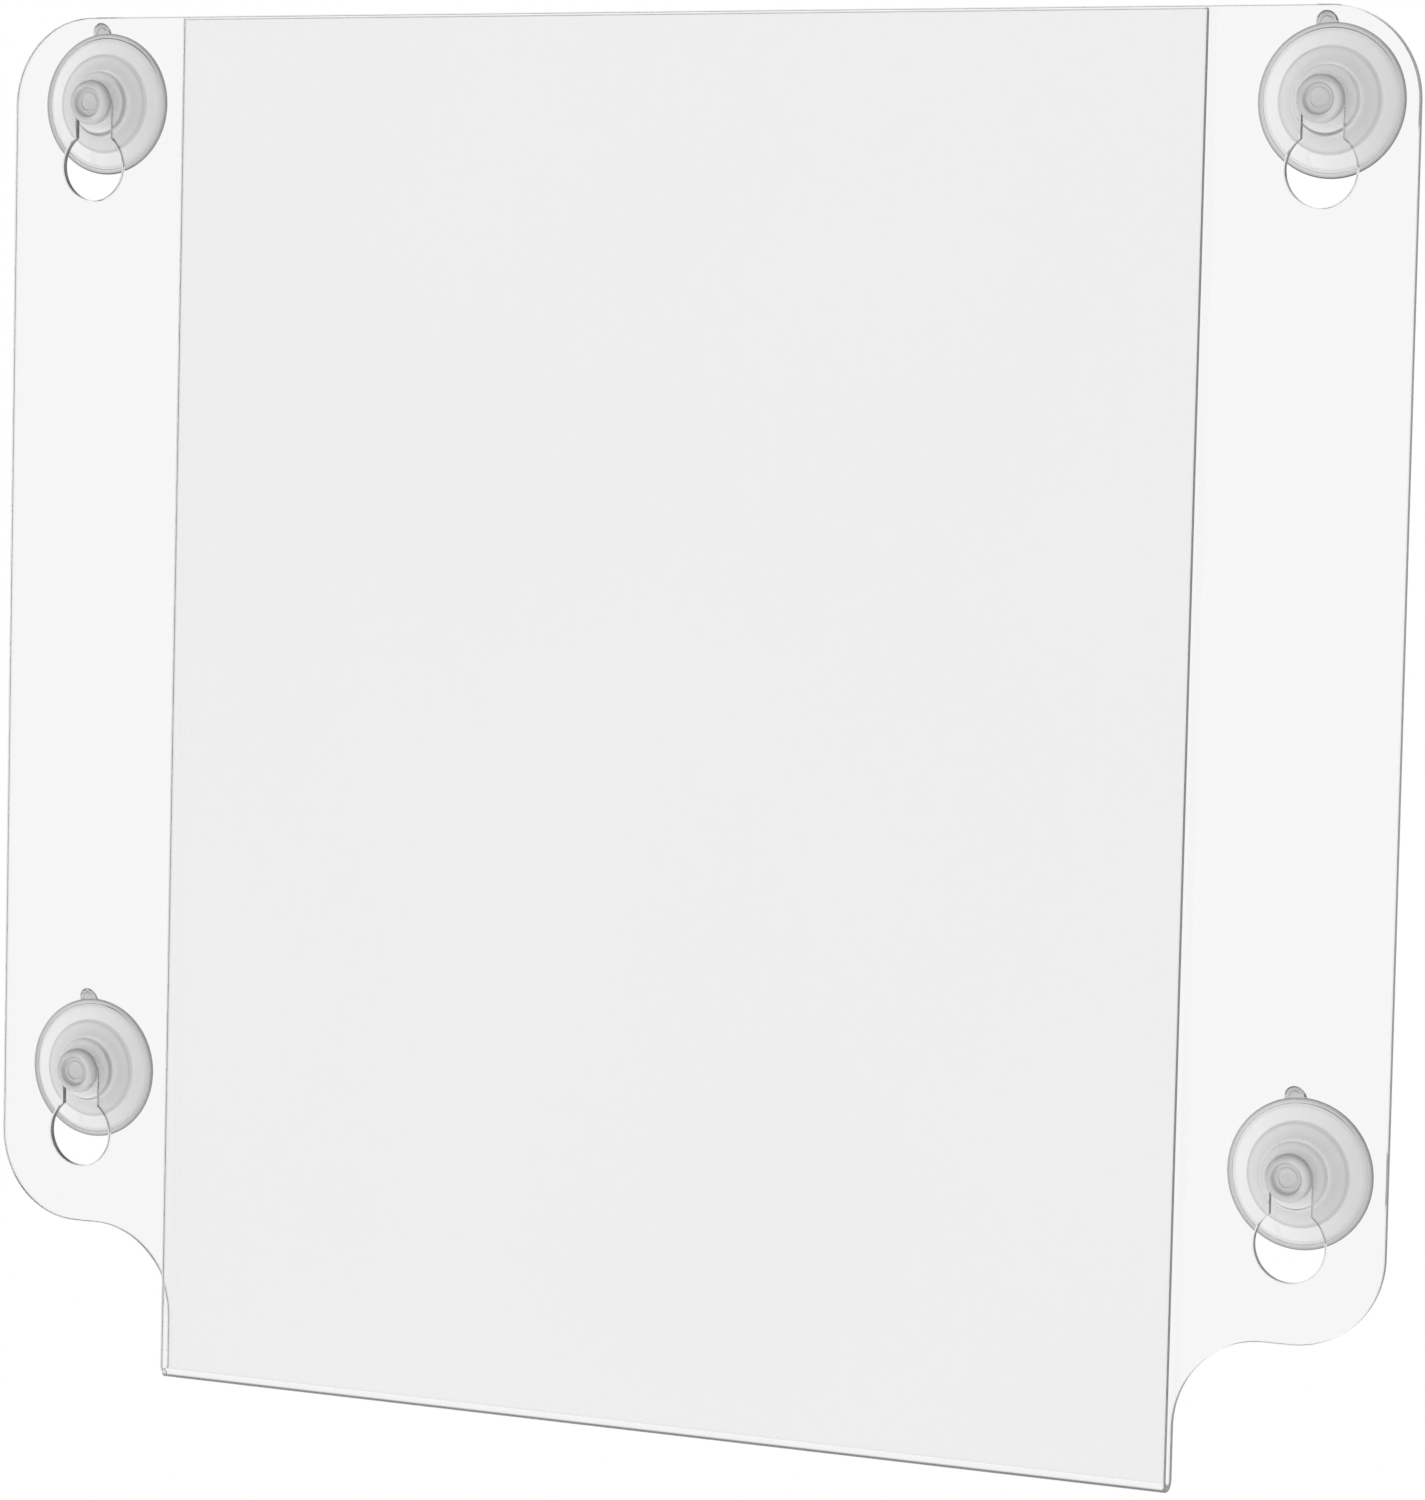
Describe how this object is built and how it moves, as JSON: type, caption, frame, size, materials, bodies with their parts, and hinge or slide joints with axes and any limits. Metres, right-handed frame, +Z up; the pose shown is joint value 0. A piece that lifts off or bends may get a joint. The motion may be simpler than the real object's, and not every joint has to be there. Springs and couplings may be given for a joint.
{
  "type": "suction cup sign guard",
  "caption": "Clear acrylic sheet folded into a full-height front pocket, with eared sides and keyholes for suction cups that hold it on a window or glass screen.",
  "frame": {"origin": "on the surface of the pane, midway between the four suction cups", "axes": "+X along the sheet's width (viewer's right from the front), +Y out of the back towards the pane, +Z up"},
  "size_m": [0.3048, 0.0096, 0.2805],
  "materials": {
    "acrylic": "clear, polished faces and bright sawn edges",
    "clear_vinyl": "soft clear vinyl, slightly milky"
  },
  "bodies": {
    "sheet": {"bent_sheet": "acrylic"},
    "upper_left_cup": {"cup_upper_left": "clear_vinyl"},
    "upper_right_cup": {"cup_upper_right": "clear_vinyl"},
    "lower_left_cup": {"cup_lower_left": "clear_vinyl"},
    "lower_right_cup": {"cup_lower_right": "clear_vinyl"}
  },
  "joints": [
    {"name": "upper_left_slot", "type": "slide", "parent": "sheet", "child": "upper_left_cup", "axis": [0, 0, 1], "range_m": [-0.013, 0]},
    {"name": "upper_right_slot", "type": "slide", "parent": "sheet", "child": "upper_right_cup", "axis": [0, 0, 1], "range_m": [-0.013, 0]},
    {"name": "lower_left_slot", "type": "slide", "parent": "sheet", "child": "lower_left_cup", "axis": [0, 0, 1], "range_m": [-0.013, 0]},
    {"name": "lower_right_slot", "type": "slide", "parent": "sheet", "child": "lower_right_cup", "axis": [0, 0, 1], "range_m": [-0.013, 0]}
  ]
}
